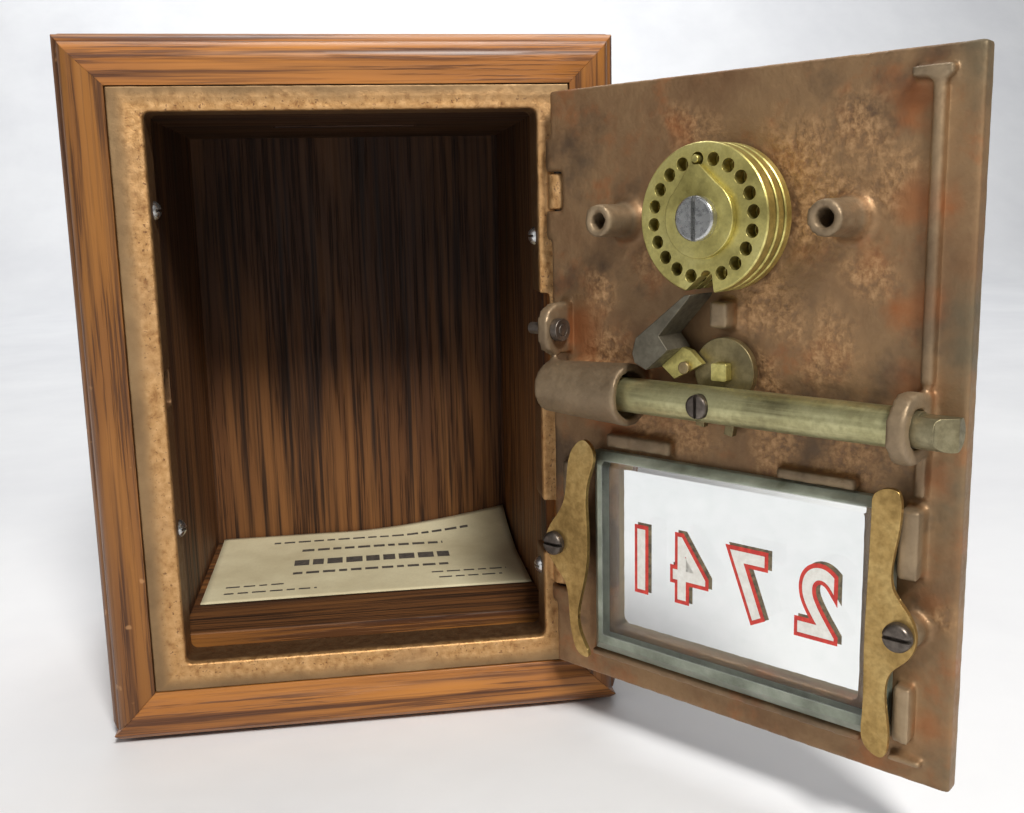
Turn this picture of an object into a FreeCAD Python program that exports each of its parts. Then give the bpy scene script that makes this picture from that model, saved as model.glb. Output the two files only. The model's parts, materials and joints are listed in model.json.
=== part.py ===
import FreeCAD, Part
import math
import os

# Oak coin bank built around the cast bronze frame and combination-lock door of a small post office box.
# Millimetres. +X right, +Y into the case, +Z up. Shapes are worked out from the bronze frame's front
# face, y = 0, and from the case's underside, z = 0. The door is modelled shut and then swung open.
# save() moves each finished piece so that the origin lies under the middle of the case.

V = FreeCAD.Vector

# ---- driving dimensions -------------------------------------------------------------------------
FRAME_W, FRAME_H = 92.0, 125.7        # bronze frame, outside
MARGIN_SIDE, MARGIN_TOP, MARGIN_BOTTOM = 6.7, 4.8, 5.7   # frame edge to opening
FLANGE_T, RIM_T, RIM_DEPTH = 2.2, 2.5, 10.0
MOULD_W, MOULD_BACK = 11.2, 12.0      # moulding face width, and where its back meets the case boards
REBATE = 2.0                          # how far the moulding reaches in behind the frame's flange
COIN_SLOT_L, COIN_SLOT_W, COIN_SLOT_Y = 34.0, 4.8, 44.0   # slot in the top board, and its front edge
INNER_HALF_W = 41.8                   # inside of the case
FLOOR_Z, CEILING_Z = 8.0, 121.2       # from the frame's lower edge
BACK_Y, BACK_T, BACK_LAP = 83.3, 8.0, 6.0   # back panel: inner face, thickness, lap over the boards
DOOR_W, DOOR_H, DOOR_T = 86.1, 121.5, 3.6
DOOR_GAP = 0.3                        # frame face to door's inner face when shut
HINGE_X, HINGE_Y = 43.28, -3.22
OPEN_ANGLE = 128.5                    # how far the door stands open
RUN = 0.05                            # radial clearance of a running fit
CLEAR = 0.35                          # clearance between parts that pass each other

FACE_Y = -45.0                        # y of the frame's front face, measured from the origin
FRAME_Z = MOULD_W                     # height of the frame's lower edge above the underside
HALF_W = FRAME_W / 2 + MOULD_W
TOTAL_H = FRAME_H + 2 * MOULD_W
OPEN_HALF = FRAME_W / 2 - MARGIN_SIDE
OPEN_LOW, OPEN_HIGH = MARGIN_BOTTOM, FRAME_H - MARGIN_TOP
DOOR_EDGE = 43.45                     # x of the door's hinge edge when shut
DOOR_LOW = (FRAME_H - DOOR_H) / 2
DOOR_BACK = -DOOR_GAP
DOOR_FRONT = DOOR_BACK - DOOR_T

# lock layout on the door: u from the hinge edge, z from the frame's lower edge, h off the inner face
WHEEL_U, WHEEL_Z, WHEEL_R = 42.65, 98.0, 13.0
RING_R, RING_HOLE_R, RING_HOLES = 10.15, 1.2, 20
GATE_ANGLE = 174.3                    # gate's place, clockwise from the top seen from inside
WHEEL_H = [1.3, 3.95, 6.6]            # inner face of each wheel, door side first
WHEEL_T, DRIVE_WHEEL_T = 2.1, 2.6
BUSH_R, SPINDLE_R = 4.0, 2.0
CAM_U, CAM_Z, CAM_R = 43.2, 70.5, 6.2
CAM_H, CAM_T = 1.0, 1.5
LATCH_R = 1.9
BOLT_Z, BOLT_H, BOLT_R, TIP_R = 64.9, 6.2, 3.35, 3.0
BOLT_START, SHOULDER, TIP_END = 21.0, 77.7, 87.1
BOLT_SCREW_U = 42.2
SLEEVE_START, SLEEVE_END, COLLAR_START, COLLAR_END = 4.6, 25.2, 78.0, 81.0
HINGE_KNUCKLES = [(93.9, 99.8), (107.7, 114.5), (15.7, 19.3), (26.5, 33.9)]
HINGE_LUGS = [(100.1, 107.4), (19.6, 26.2)]
HINGE_PINS = [(94.3, 114.1), (16.1, 33.5)]
KNUCKLE_R, LUG_R, PIN_R = 2.9, 2.5, 1.2
WINDOW = (16.5, 70.2, 14.5, 48.7)     # opening: u from, u to, z from, z to
GLASS = (12.6, 76.0, 9.3, 51.8)
GLASS_H, GLASS_T, GLASS_BEVEL = 0.2, 4.0, 2.4
SCREW_HEAD_R, SCREW_SHANK_R = 2.5, 1.1
CLIP_H, CLIP_T = 4.4, 1.0
CLIP_SCREWS = [(4.6, 31.4), (78.9, 30.0)]
GUARD_Z, GUARD_H = 76.3, 5.3
POSTS = [19.8, 65.6]                  # pillars of the missing wheel cover
DIAL_RING_R, DIAL_KNOB_R = 21.0, 9.0

os.makedirs("parts", exist_ok=True)


# ---- helpers ------------------------------------------------------------------------------------
def box(x0, x1, y0, y1, z0, z1):
    return Part.makeBox(abs(x1 - x0), abs(y1 - y0), abs(z1 - z0), V(min(x0, x1), min(y0, y1), min(z0, z1)))


def rod(start, direction, radius, length):
    return Part.makeCylinder(radius, length, V(*start), V(*direction))


def fuse(shapes):
    whole = shapes[0]
    for shape in shapes[1:]:
        whole = whole.fuse(shape)
    return whole.removeSplitter()


def face_prism(points, direction):
    corners = [V(*p) for p in points]
    return Part.Face(Part.makePolygon(corners + corners[:1])).extrude(V(*direction))


def smooth_prism(points, direction):
    """A prism whose outline is a closed smooth curve through the points."""
    curve = Part.BSplineCurve()
    curve.interpolate([V(*p) for p in points], PeriodicFlag=True)
    return Part.Face(Part.Wire(curve.toShape())).extrude(V(*direction))


def up(z):
    """Height above the underside of a height above the frame's lower edge."""
    return FRAME_Z + z


def on_door(u, h, z):
    """A point given on the shut door: distance from the hinge edge, height off the inner face, z."""
    return (DOOR_EDGE - u, DOOR_BACK + h, up(z))


def door_box(u0, u1, h0, h1, z0, z1):
    return box(DOOR_EDGE - u1, DOOR_EDGE - u0, DOOR_BACK + h0, DOOR_BACK + h1, up(z0), up(z1))


def door_post(u, z, radius, h0, h1):
    return rod(on_door(u, h0, z), (0, 1, 0), radius, h1 - h0)


def door_rail(u0, u1, h, z, radius):
    return rod(on_door(u1, h, z), (1, 0, 0), radius, u1 - u0)


def door_plate(points, h0, h1):
    return face_prism([on_door(u, h0, z) for u, z in points], (0, h1 - h0, 0))


def opened(shape):
    turned = shape.copy()
    turned.rotate(V(HINGE_X, HINGE_Y, 0), V(0, 0, 1), OPEN_ANGLE)
    return turned


def save(name, shape):
    placed = shape.copy()
    placed.translate(V(0, FACE_Y, 0))
    placed.exportStep(f"parts/{name}.step")


def save_on_door(name, shape):
    save(name, opened(shape))


# ---- oak case -----------------------------------------------------------------------------------
def moulding_profile(side):
    """Cross-section as (distance out from the frame's edge, y): stepped outside, but full at the bottom."""
    back = [(-REBATE, FLANGE_T + 0.1), (-REBATE, MOULD_BACK), (MOULD_W, MOULD_BACK)]
    stepped = [
        (MOULD_W, 9.4), (10.7, 8.9), (10.7, 7.0), (10.3, 5.0), (9.5, 3.7), (8.6, 3.1), (8.6, 1.9),
        (8.1, 0.5), (7.2, -0.7), (6.0, -1.4),
    ]
    full = [(MOULD_W, 5.2), (11.1, 3.4), (10.8, 1.8), (10.2, 0.5), (9.2, -0.5), (7.8, -1.2), (6.2, -1.5)]
    inner = [(4.6, -1.6), (3.4, -1.3), (2.0, -0.6), (0.9, -0.3), (0.1, -0.3), (0.1, FLANGE_T + 0.1)]
    return back + (full if side == "bottom" else stepped) + inner


def mitre_wedge(side):
    """The part of the front that belongs to one moulding, cut at 45 degrees through each corner."""
    reach = MOULD_W + 5
    half, low, high = FRAME_W / 2, FRAME_Z, FRAME_Z + FRAME_H
    inset = 10
    corners = {
        "top_left": [(-half - reach, high + reach), (-half + inset, high - inset)],
        "top_right": [(half + reach, high + reach), (half - inset, high - inset)],
        "bottom_left": [(-half - reach, low - reach), (-half + inset, low + inset)],
        "bottom_right": [(half + reach, low - reach), (half - inset, low + inset)],
    }
    ends = {
        "top": ("top_left", "top_right"), "bottom": ("bottom_left", "bottom_right"),
        "left": ("bottom_left", "top_left"), "right": ("bottom_right", "top_right"),
    }
    first, second = ends[side]
    outline = corners[first] + corners[second][::-1]
    return face_prism([(x, -5, z) for x, z in outline], (0, MOULD_BACK + 10, 0))


def moulding(side):
    half, low, high = FRAME_W / 2, FRAME_Z, FRAME_Z + FRAME_H
    profile = moulding_profile(side)
    if side == "top":
        run = face_prism([(-80, y, high + t) for t, y in profile], (160, 0, 0))
    elif side == "bottom":
        run = face_prism([(-80, y, low - t) for t, y in profile], (160, 0, 0))
    elif side == "left":
        run = face_prism([(-half - t, y, -20) for t, y in profile], (0, 0, 190))
    else:
        run = face_prism([(half + t, y, -20) for t, y in profile], (0, 0, 190))
    return run.common(mitre_wedge(side)).common(rounded_front())


def rounded_front():
    """The outline that the moulding ring is sanded to: round lower corners, eased upper ones."""
    low_r, high_r = 6.5, 1.5
    blank = box(-HALF_W, HALF_W, -5, MOULD_BACK + 2, 0, TOTAL_H)
    low = [e for e in blank.Edges if is_y_edge(e) and e.CenterOfMass.z < 1]
    blank = blank.makeFillet(low_r, low)
    high = [e for e in blank.Edges if is_y_edge(e) and e.CenterOfMass.z > TOTAL_H - 1]
    return blank.makeFillet(high_r, high)


def is_y_edge(edge):
    direction = edge.Vertexes[-1].Point - edge.Vertexes[0].Point
    return abs(direction.x) < 1e-6 and abs(direction.z) < 1e-6


def strike_pocket():
    """Room in the frame's rim and the moulding for the thrown bolt."""
    y = DOOR_BACK + BOLT_H
    return box(-FRAME_W / 2 - 0.2, -OPEN_HALF + 1, FLANGE_T, y + 4.0, up(BOLT_Z - 3.9), up(BOLT_Z + 3.9))


def guard_pocket():
    """Room in the hinge side for the end of the guard screw."""
    return box(OPEN_HALF - 1, 45.4, FLANGE_T, RIM_DEPTH + 1, up(GUARD_Z - 2), up(GUARD_Z + 2))


def frame_screw_places():
    return [(-1, 101.7), (-1, 34.4), (1, 94.7), (1, 20.8)]


def frame_screw(side, z, grow=0.0):
    """A round-head screw through the rim into the oak. side is -1 left, +1 right."""
    seat = side * OPEN_HALF
    head = Part.makeSphere(2.1, V(seat + side * 0.7, 6.0, up(z)))
    inner = side * (OPEN_HALF - 3)
    head = head.common(box(seat, inner, 0, 12, up(z) - 4, up(z) + 4))
    slot = box(side * (OPEN_HALF - 1.5), side * (OPEN_HALF - 0.6), 3, 9, up(z) - 0.25, up(z) + 0.25)
    shank = rod((seat, 6.0, up(z)), (side, 0, 0), 1.2 + grow, 11)
    return shank if grow else fuse([head.cut(slot), shank])


def back_screw_places():
    x = INNER_HALF_W + BACK_LAP / 2
    return [(sx * x, z) for sx in (-1, 1) for z in (up(FLOOR_Z) + 14, up(CEILING_Z) - 14)]


def back_screw(x, end_y, z):
    head = Part.makeCone(2.5, 1.2, 1.7, V(x, end_y, z), V(0, -1, 0))
    head = head.cut(box(x - 3, x + 3, end_y - 0.7, end_y + 0.1, z - 0.3, z + 0.3))
    return fuse([head, rod((x, end_y - 1.7, z), (0, -1, 0), 1.2, 14)])


def build_case():
    """Four boards, butted at the corners and rebated at the back for the panel that closes the case."""
    inner_low, inner_high = up(FLOOR_Z), up(CEILING_Z)
    end_y = BACK_Y + BACK_T
    lap_half = INNER_HALF_W + BACK_LAP
    panel = box(-lap_half, lap_half, BACK_Y, end_y, inner_low - BACK_LAP, inner_high + BACK_LAP)
    coin_slot = box(-COIN_SLOT_L / 2, COIN_SLOT_L / 2, COIN_SLOT_Y, COIN_SLOT_Y + COIN_SLOT_W,
                    inner_high - 1, TOTAL_H + 1)
    boards = {
        "case_side_left": box(-HALF_W, -INNER_HALF_W, MOULD_BACK, end_y, 0, TOTAL_H),
        "case_side_right": box(INNER_HALF_W, HALF_W, MOULD_BACK, end_y, 0, TOTAL_H),
        "case_top": box(-INNER_HALF_W, INNER_HALF_W, MOULD_BACK, end_y, inner_high, TOTAL_H).cut(coin_slot),
        "case_bottom": box(-INNER_HALF_W, INNER_HALF_W, MOULD_BACK, end_y, 0, inner_low),
    }
    screws = [back_screw(x, end_y, z) for x, z in back_screw_places()]
    holes = Part.makeCompound([rod((x, end_y - 1.7, z), (0, -1, 0), 1.2, 14) for x, z in back_screw_places()])
    for name, board in boards.items():
        save(name, board.cut(panel).cut(holes))
    for screw in screws:
        panel = panel.cut(screw)
    save("case_back", panel)
    save("back_screws", Part.makeCompound(screws))


def build_mouldings():
    for side in ("top", "bottom", "left", "right"):
        piece = moulding(side).cut(strike_pocket()).cut(guard_pocket())
        for direction, z in frame_screw_places():
            piece = piece.cut(frame_screw(direction, z, 0.02))
        save(f"moulding_{side}", piece)


# ---- bronze frame -------------------------------------------------------------------------------
def build_frame():
    half, low, high = FRAME_W / 2, FRAME_Z, FRAME_Z + FRAME_H
    flange = box(-half, half, 0, FLANGE_T, low, high)
    rim_half = OPEN_HALF + RIM_T
    rim = box(-rim_half, rim_half, 0, RIM_DEPTH, up(OPEN_LOW) - RIM_T, up(OPEN_HIGH) + RIM_T)
    frame = fuse([flange, rim])
    hole = box(-OPEN_HALF, OPEN_HALF, -1, RIM_DEPTH + 1, up(OPEN_LOW), up(OPEN_HIGH))
    upright = [e for e in hole.Edges if is_y_edge(e)]
    frame = frame.cut(hole.makeFillet(1.2, upright))
    recess = box(-half + 3.5, half - 3.5, -0.01, 0.25, low + 2.6, high - 2.6)
    frame = frame.cut(recess)
    frame = frame.cut(strike_pocket())
    # relief in the hinge rail for the bolt sleeve, the guard lug with its pin, and the window clip
    frame = frame.cut(box(OPEN_HALF - 1, 41.5, -1, RIM_DEPTH + 1, up(58.5), up(82.8)))
    frame = frame.cut(guard_pocket())
    frame = frame.cut(box(OPEN_HALF - 1, 42.6, -1, RIM_DEPTH + 1, up(25.4), up(37.2)))
    for z0, z1 in HINGE_LUGS:
        lug = rod((HINGE_X, HINGE_Y, up(z0)), (0, 0, 1), LUG_R, z1 - z0)
        web = box(HINGE_X - 1.9, HINGE_X + 2.3, HINGE_Y, 1, up(z0), up(z1))
        frame = frame.fuse(lug).fuse(web)
        frame = frame.cut(rod((HINGE_X, HINGE_Y, up(z0) - 1), (0, 0, 1), PIN_R, z1 - z0 + 2))
    for direction, z in frame_screw_places():
        frame = frame.cut(frame_screw(direction, z, 0.02))
    save("door_frame", frame.removeSplitter())
    save("frame_screws", Part.makeCompound([frame_screw(d, z) for d, z in frame_screw_places()]))
    pins = [rod((HINGE_X, HINGE_Y, up(z0)), (0, 0, 1), PIN_R, z1 - z0) for z0, z1 in HINGE_PINS]
    save("hinge_pins", Part.makeCompound(pins))


# ---- door casting -------------------------------------------------------------------------------
def window_bead():
    u0, u1, z0, z1 = WINDOW
    outer = door_box(u0 - 3.5, u1 + 3.5, -DOOR_T - 1.4, -DOOR_T, z0 - 3.5, z1 + 3.5)
    return outer.cut(door_box(u0, u1, -DOOR_T - 2, 0, z0, z1))


def front_border():
    low, high = DOOR_LOW, DOOR_LOW + DOOR_H
    outer = door_box(5.0, DOOR_W - 2.0, -DOOR_T - 1.2, -DOOR_T, low + 2, high - 2)
    return outer.cut(door_box(8.0, DOOR_W - 5.0, -DOOR_T - 2, 0, low + 5, high - 5))


def dial_ring():
    ring = door_post(WHEEL_U, WHEEL_Z, DIAL_RING_R, -DOOR_T - 1.2, -DOOR_T)
    well = door_post(WHEEL_U, WHEEL_Z, DIAL_KNOB_R + 3.0, -DOOR_T - 2.0, -DOOR_T - 0.4)
    return ring.cut(well)


def latch_ring():
    ring = door_post(CAM_U, CAM_Z, 8.0, -DOOR_T - 1.0, -DOOR_T)
    return ring.cut(door_post(CAM_U, CAM_Z, 5.4, -DOOR_T - 2.0, -DOOR_T - 0.2))


def sleeve():
    start, end = on_door(SLEEVE_START, BOLT_H, BOLT_Z), on_door(SLEEVE_END, BOLT_H, BOLT_Z)
    length = start[0] - end[0]
    body = Part.makeCone(6.1, 5.2, length, V(*end), V(1, 0, 0))
    foot = door_box(SLEEVE_START, SLEEVE_END, 0, BOLT_H, BOLT_Z - 4.6, BOLT_Z + 4.6)
    block = fuse([body, foot]).common(door_box(0, 40, 0, 20, 40, 90))
    bore = door_rail(SLEEVE_START + 2.5, SLEEVE_END + 1, BOLT_H, BOLT_Z, BOLT_R + RUN)
    mouth = door_rail(SLEEVE_END - 2.5, SLEEVE_END + 1, BOLT_H, BOLT_Z, BOLT_R + 1.2)
    return block, [bore, mouth]


def collar():
    ring = door_rail(COLLAR_START, COLLAR_END, BOLT_H, BOLT_Z, 5.9)
    foot = door_box(COLLAR_START, COLLAR_END, 0, BOLT_H, BOLT_Z - 5.0, BOLT_Z + 5.0)
    block = fuse([ring, foot]).common(door_box(70, 90, 0, 20, 40, 90))
    return block, [door_rail(COLLAR_START - 1, COLLAR_END + 1, BOLT_H, BOLT_Z, TIP_R + RUN)]


def cast_ribs():
    ribs = [
        door_box(79.0, 80.9, -0.1, 2.0, 71.2, 119.6),      # long rib above the collar
        door_box(75.8, 82.2, -0.1, 2.6, 118.6, 120.4),     # its T head
        door_box(78.6, 80.6, -0.1, 2.0, 52.6, 59.6),       # short rib below the collar
        door_box(15.9, 31.4, -0.1, 2.6, 53.0, 55.8),       # ledges that locate the glass
        door_box(54.0, 69.0, -0.1, 2.6, 52.3, 54.2),
        door_box(77.2, 80.6, -0.1, 4.0, 39.2, 51.0),
        door_box(77.2, 80.1, -0.1, 3.4, 10.4, 20.0),
        door_box(11.5, 71.0, -0.1, 1.8, 7.4, 8.8),
        door_box(76.3, 81.9, -0.1, 2.0, 5.9, 7.0),
        door_box(4.2, 5.8, -0.1, 2.4, 39.7, 48.4),
        door_box(40.8, 44.6, -0.1, 4.0, 78.3, 83.2),       # stop block below the wheels
    ]
    return ribs


def guard_lug():
    """An upright lug by the hinge edge that carries the guard screw."""
    outline = [(GUARD_Z - 5.2, -0.1), (GUARD_Z - 5.2, 5.6), (GUARD_Z - 4.0, 7.6), (GUARD_Z - 2.0, 8.4),
               (GUARD_Z + 2.0, 8.4), (GUARD_Z + 4.0, 7.4), (GUARD_Z + 5.2, 5.2), (GUARD_Z + 5.4, -0.1)]
    corners = [on_door(5.8, h, z) for z, h in outline]
    return face_prism(corners, (2.6, 0, 0))


def build_door():
    low, high = DOOR_LOW, DOOR_LOW + DOOR_H
    plate = door_box(0, DOOR_W, -DOOR_T, 0, low, high)
    parts = [plate, front_border(), window_bead(), dial_ring(), latch_ring()]
    for z0, z1 in HINGE_KNUCKLES:
        parts.append(rod((HINGE_X, HINGE_Y, up(z0)), (0, 0, 1), KNUCKLE_R, z1 - z0))
    sleeve_block, sleeve_cuts = sleeve()
    collar_block, collar_cuts = collar()
    parts += [sleeve_block, collar_block, guard_lug()]
    parts += cast_ribs()
    for u in POSTS:
        parts.append(door_post(u, WHEEL_Z - 0.2, 3.1, -0.1, 9.6))
        parts.append(Part.makeCone(4.4, 3.1, 2.4, V(*on_door(u, 0, WHEEL_Z - 0.2)), V(0, 1, 0)))
    for u, z in CLIP_SCREWS:
        parts.append(door_post(u, z, 2.9, -0.1, CLIP_H - 0.02))
    casting = fuse(parts)
    u0, u1, z0, z1 = WINDOW
    cuts = sleeve_cuts + collar_cuts + [door_box(u0, u1, -10, 5, z0, z1)]
    for z0, z1 in ((99.8, 107.7), (19.3, 26.5)):
        cuts.append(door_box(-5, DOOR_EDGE - HINGE_X + LUG_R + CLEAR, -8, 3, z0, z1))
    for z0, z1 in ((93, 115), (15, 34.5)):
        cuts.append(rod((HINGE_X, HINGE_Y, up(z0)), (0, 0, 1), PIN_R + RUN, z1 - z0))
    for u in POSTS:
        cuts.append(door_post(u, WHEEL_Z - 0.2, 1.6, 2.0, 12))
    for u, z in CLIP_SCREWS:
        cuts.append(door_post(u, z, SCREW_SHANK_R + 0.02, 0.5, 8))
    cuts.append(door_post(WHEEL_U, WHEEL_Z, BUSH_R, -10, 2))
    cuts.append(door_post(CAM_U, CAM_Z, LATCH_R + RUN, -10, 5))
    cuts.append(rod(on_door(8, GUARD_H, GUARD_Z), (1, 0, 0), 1.22, 20))
    for cut in cuts:
        casting = casting.cut(cut)
    save_on_door("door_casting", casting.removeSplitter())


# ---- window -------------------------------------------------------------------------------------
def build_window():
    u0, u1, z0, z1 = GLASS
    pane = door_box(u0, u1, GLASS_H, GLASS_H + GLASS_T, z0, z1)
    rear = [e for e in pane.Edges if abs(e.CenterOfMass.y - (DOOR_BACK + GLASS_H + GLASS_T)) < 1e-6]
    save_on_door("window_glass", pane.makeChamfer(GLASS_BEVEL, rear))
    save_on_door("number_transfer", door_box(21.0, 68.5, GLASS_H - 0.12, GLASS_H - 0.02, 22.0, 40.5))
    hinge_clip = [(13.4, 54.0), (14.9, 52.0), (13.5, 46.0), (13.0, 38.0), (13.0, 29.0), (11.3, 21.0),
                  (11.6, 12.0), (13.0, 8.2), (11.0, 8.4), (9.2, 11.0), (8.2, 17.0), (7.0, 23.5),
                  (3.3, 27.6), (1.9, 31.4), (3.3, 35.2), (6.4, 39.5), (8.0, 47.0), (10.4, 53.2)]
    latch_clip = [(73.4, 52.0), (74.6, 54.0), (77.6, 54.2), (78.4, 51.0), (77.4, 43.0), (77.6, 37.6),
                  (80.4, 33.8), (81.7, 30.0), (80.6, 26.4), (77.7, 23.2), (76.9, 18.0), (77.6, 10.0),
                  (76.8, 7.9), (74.2, 8.6), (73.0, 14.0), (73.0, 24.0), (73.2, 40.0)]
    for name, outline, (u, z) in (("window_clip_hinge_side", hinge_clip, CLIP_SCREWS[0]),
                                  ("window_clip_latch_side", latch_clip, CLIP_SCREWS[1])):
        clip = smooth_prism([on_door(p, CLIP_H, q) for p, q in outline], (0, CLIP_T, 0))
        save_on_door(name, clip.cut(door_post(u, z, SCREW_SHANK_R + 0.02, 0, 9)))
    save_on_door("clip_screws", Part.makeCompound([clip_screw(u, z) for u, z in CLIP_SCREWS]))


def clip_screw(u, z):
    top = CLIP_H + CLIP_T
    head = door_post(u, z, SCREW_HEAD_R, top, top + 1.7)
    rim = [e for e in head.Edges if abs(e.CenterOfMass.y - (DOOR_BACK + top + 1.7)) < 1e-6]
    head = head.makeFillet(0.9, rim)
    head = head.cut(door_box(u - 3, u + 3, top + 0.7, top + 3, z - 0.35, z + 0.35))
    return fuse([head, door_post(u, z, SCREW_SHANK_R, 1.0, top + 0.1)])


def build_guard():
    screw = rod(on_door(7.6, GUARD_H, GUARD_Z), (1, 0, 0), 1.2, 9.0)
    end = [e for e in screw.Edges if e.CenterOfMass.x > DOOR_EDGE - 0.1]
    save_on_door("guard_screw", screw.makeChamfer(0.4, end))
    nut = rod(on_door(7.5, GUARD_H, GUARD_Z), (1, 0, 0), 2.3, 1.65)
    save_on_door("guard_nut", nut.cut(rod(on_door(9, GUARD_H, GUARD_Z), (1, 0, 0), 1.2, 4)))


# ---- dial and wheel pack ------------------------------------------------------------------------
def wheel_point(angle, radius):
    a = math.radians(angle)
    return WHEEL_U + radius * math.sin(a), WHEEL_Z + radius * math.cos(a)


def gate(h0, h1):
    """The V-shaped gate: a ring hole opened out to the rim on the side that the fence comes from."""
    outline = [(42.3, 88.0), (39.2, 85.3), (38.2, 84.0), (45.6, 84.0), (45.1, 86.0), (44.85, 88.0)]
    hole_u, hole_z = wheel_point(GATE_ANGLE, RING_R)
    hole = door_post(hole_u, hole_z, RING_HOLE_R, h0 - 0.5, h1 + 0.5)
    return fuse([door_plate(outline, h0 - 0.5, h1 + 0.5), hole])


def wheel(h0, thickness, bore):
    h1 = h0 + thickness
    disc = door_post(WHEEL_U, WHEEL_Z, WHEEL_R, h0, h1)
    rims = [e for e in disc.Edges if abs(e.Length - 2 * math.pi * WHEEL_R) < 1e-3]
    disc = disc.makeChamfer(0.25, rims)
    disc = disc.cut(door_post(WHEEL_U, WHEEL_Z, bore, h0 - 1, h1 + 1))
    for i in range(1, RING_HOLES):
        u, z = wheel_point(GATE_ANGLE + i * 360 / RING_HOLES, RING_R)
        disc = disc.cut(door_post(u, z, RING_HOLE_R, h0 - 1, h1 + 1))
    return disc.cut(gate(h0, h1))


def hub():
    h0 = WHEEL_H[2] + DRIVE_WHEEL_T
    top = h0 + 1.2
    body = door_post(WHEEL_U, WHEEL_Z, 6.9, h0, top)
    tip_u, tip_z = wheel_point(GATE_ANGLE - 180, 9.2)
    left, right = wheel_point(GATE_ANGLE - 180 - 55, 6.8), wheel_point(GATE_ANGLE - 180 + 55, 6.8)
    point = door_plate([left, (tip_u - 1.0, tip_z), (tip_u + 1.0, tip_z), right], h0, top)
    shape = fuse([body, point])
    return shape.cut(door_post(WHEEL_U, WHEEL_Z, SPINDLE_R, h0 - 1, top + 1))


def build_wheels():
    save_on_door("tumbler_wheel_inner", wheel(WHEEL_H[0], WHEEL_T, BUSH_R + RUN))
    save_on_door("tumbler_wheel_middle", wheel(WHEEL_H[1], WHEEL_T, BUSH_R + RUN))
    save_on_door("drive_wheel", wheel(WHEEL_H[2], DRIVE_WHEEL_T, SPINDLE_R))
    save_on_door("wheel_hub", hub())
    bush_top = WHEEL_H[2] - 0.15
    bush = door_post(WHEEL_U, WHEEL_Z, BUSH_R, -DOOR_T, bush_top)
    save_on_door("wheel_bush", bush.cut(door_post(WHEEL_U, WHEEL_Z, SPINDLE_R + RUN, -10, 20)))
    spacers = []
    for h0, h1 in ((0.0, 1.15), (3.5, 3.85), (6.15, 6.4)):
        ring = door_post(WHEEL_U, WHEEL_Z, 6.5, h0, h1)
        spacers.append(ring.cut(door_post(WHEEL_U, WHEEL_Z, BUSH_R, h0 - 1, h1 + 1)))
    save_on_door("wheel_spacers", Part.makeCompound(spacers))
    spindle_top = WHEEL_H[2] + DRIVE_WHEEL_T + 1.2
    front = -DOOR_T - 10.8
    save_on_door("dial_spindle", door_post(WHEEL_U, WHEEL_Z, SPINDLE_R, front, spindle_top))
    head = door_post(WHEEL_U, WHEEL_Z, 3.9, spindle_top, spindle_top + 1.5)
    rim = [e for e in head.Edges if abs(e.CenterOfMass.y - (DOOR_BACK + spindle_top + 1.5)) < 1e-6]
    head = head.makeFillet(0.5, rim)
    slot = door_box(WHEEL_U - 0.45, WHEEL_U + 0.45, spindle_top + 0.6, spindle_top + 3, WHEEL_Z - 5,
                    WHEEL_Z + 5)
    save_on_door("hub_screw", head.cut(slot))
    pin_u, pin_z = wheel_point(GATE_ANGLE - 180, RING_R)
    top = WHEEL_H[2] + DRIVE_WHEEL_T
    save_on_door("change_pin", door_post(pin_u, pin_z, 0.7, WHEEL_H[2] + 0.2, top + 0.9))


def build_dial_knob():
    base = -DOOR_T - 0.6
    knob = door_post(WHEEL_U, WHEEL_Z, DIAL_KNOB_R, base - 2.2, base)
    grip = door_post(WHEEL_U, WHEEL_Z, 6.4, base - 12.5, base - 2.2)
    for i in range(24):
        u, z = wheel_point(i * 15, 6.75)
        grip = grip.cut(door_post(u, z, 0.6, base - 11.6, base - 3.0))
    tip_u, tip_z = wheel_point(0, DIAL_KNOB_R + 1.6)
    pointer = [(tip_u - 2.4, tip_z - 3), (tip_u, tip_z), (tip_u + 2.4, tip_z - 3)]
    pointer = door_plate(pointer, base - 1.6, base - 0.2)
    shape = fuse([knob, grip, pointer])
    shape = shape.cut(door_post(WHEEL_U, WHEEL_Z, SPINDLE_R, base - 10.3, base + 1))
    save_on_door("dial_knob", shape)


# ---- latch knob, cam, fence and bolt ------------------------------------------------------------
def build_latch():
    front = -DOOR_T - 9.0
    square = 3.2
    top = CAM_H + CAM_T
    shaft = door_post(CAM_U, CAM_Z, LATCH_R, front, CAM_H)
    half = square / 2
    stub = door_box(CAM_U - half, CAM_U + half, CAM_H - 0.1, top + 1.7, CAM_Z - half, CAM_Z + half)
    stub = stub.common(door_post(CAM_U, CAM_Z, 2.1, CAM_H - 0.1, top + 1.7))
    save_on_door("latch_spindle", fuse([shaft, stub]))
    knob = door_post(CAM_U, CAM_Z, 4.9, -DOOR_T - 2.4, -DOOR_T - 0.4)
    grip = door_post(CAM_U, CAM_Z, 6.6, -DOOR_T - 9.5, -DOOR_T - 2.4)
    edges = [e for e in grip.Edges if abs(e.Length - 2 * math.pi * 6.6) < 1e-3]
    grip = grip.makeFillet(1.8, edges)
    knob = fuse([knob, grip])
    save_on_door("latch_knob", knob.cut(door_post(CAM_U, CAM_Z, LATCH_R, front, 0)))
    save_on_door("latch_cam", cam().cut(stub))


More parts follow.
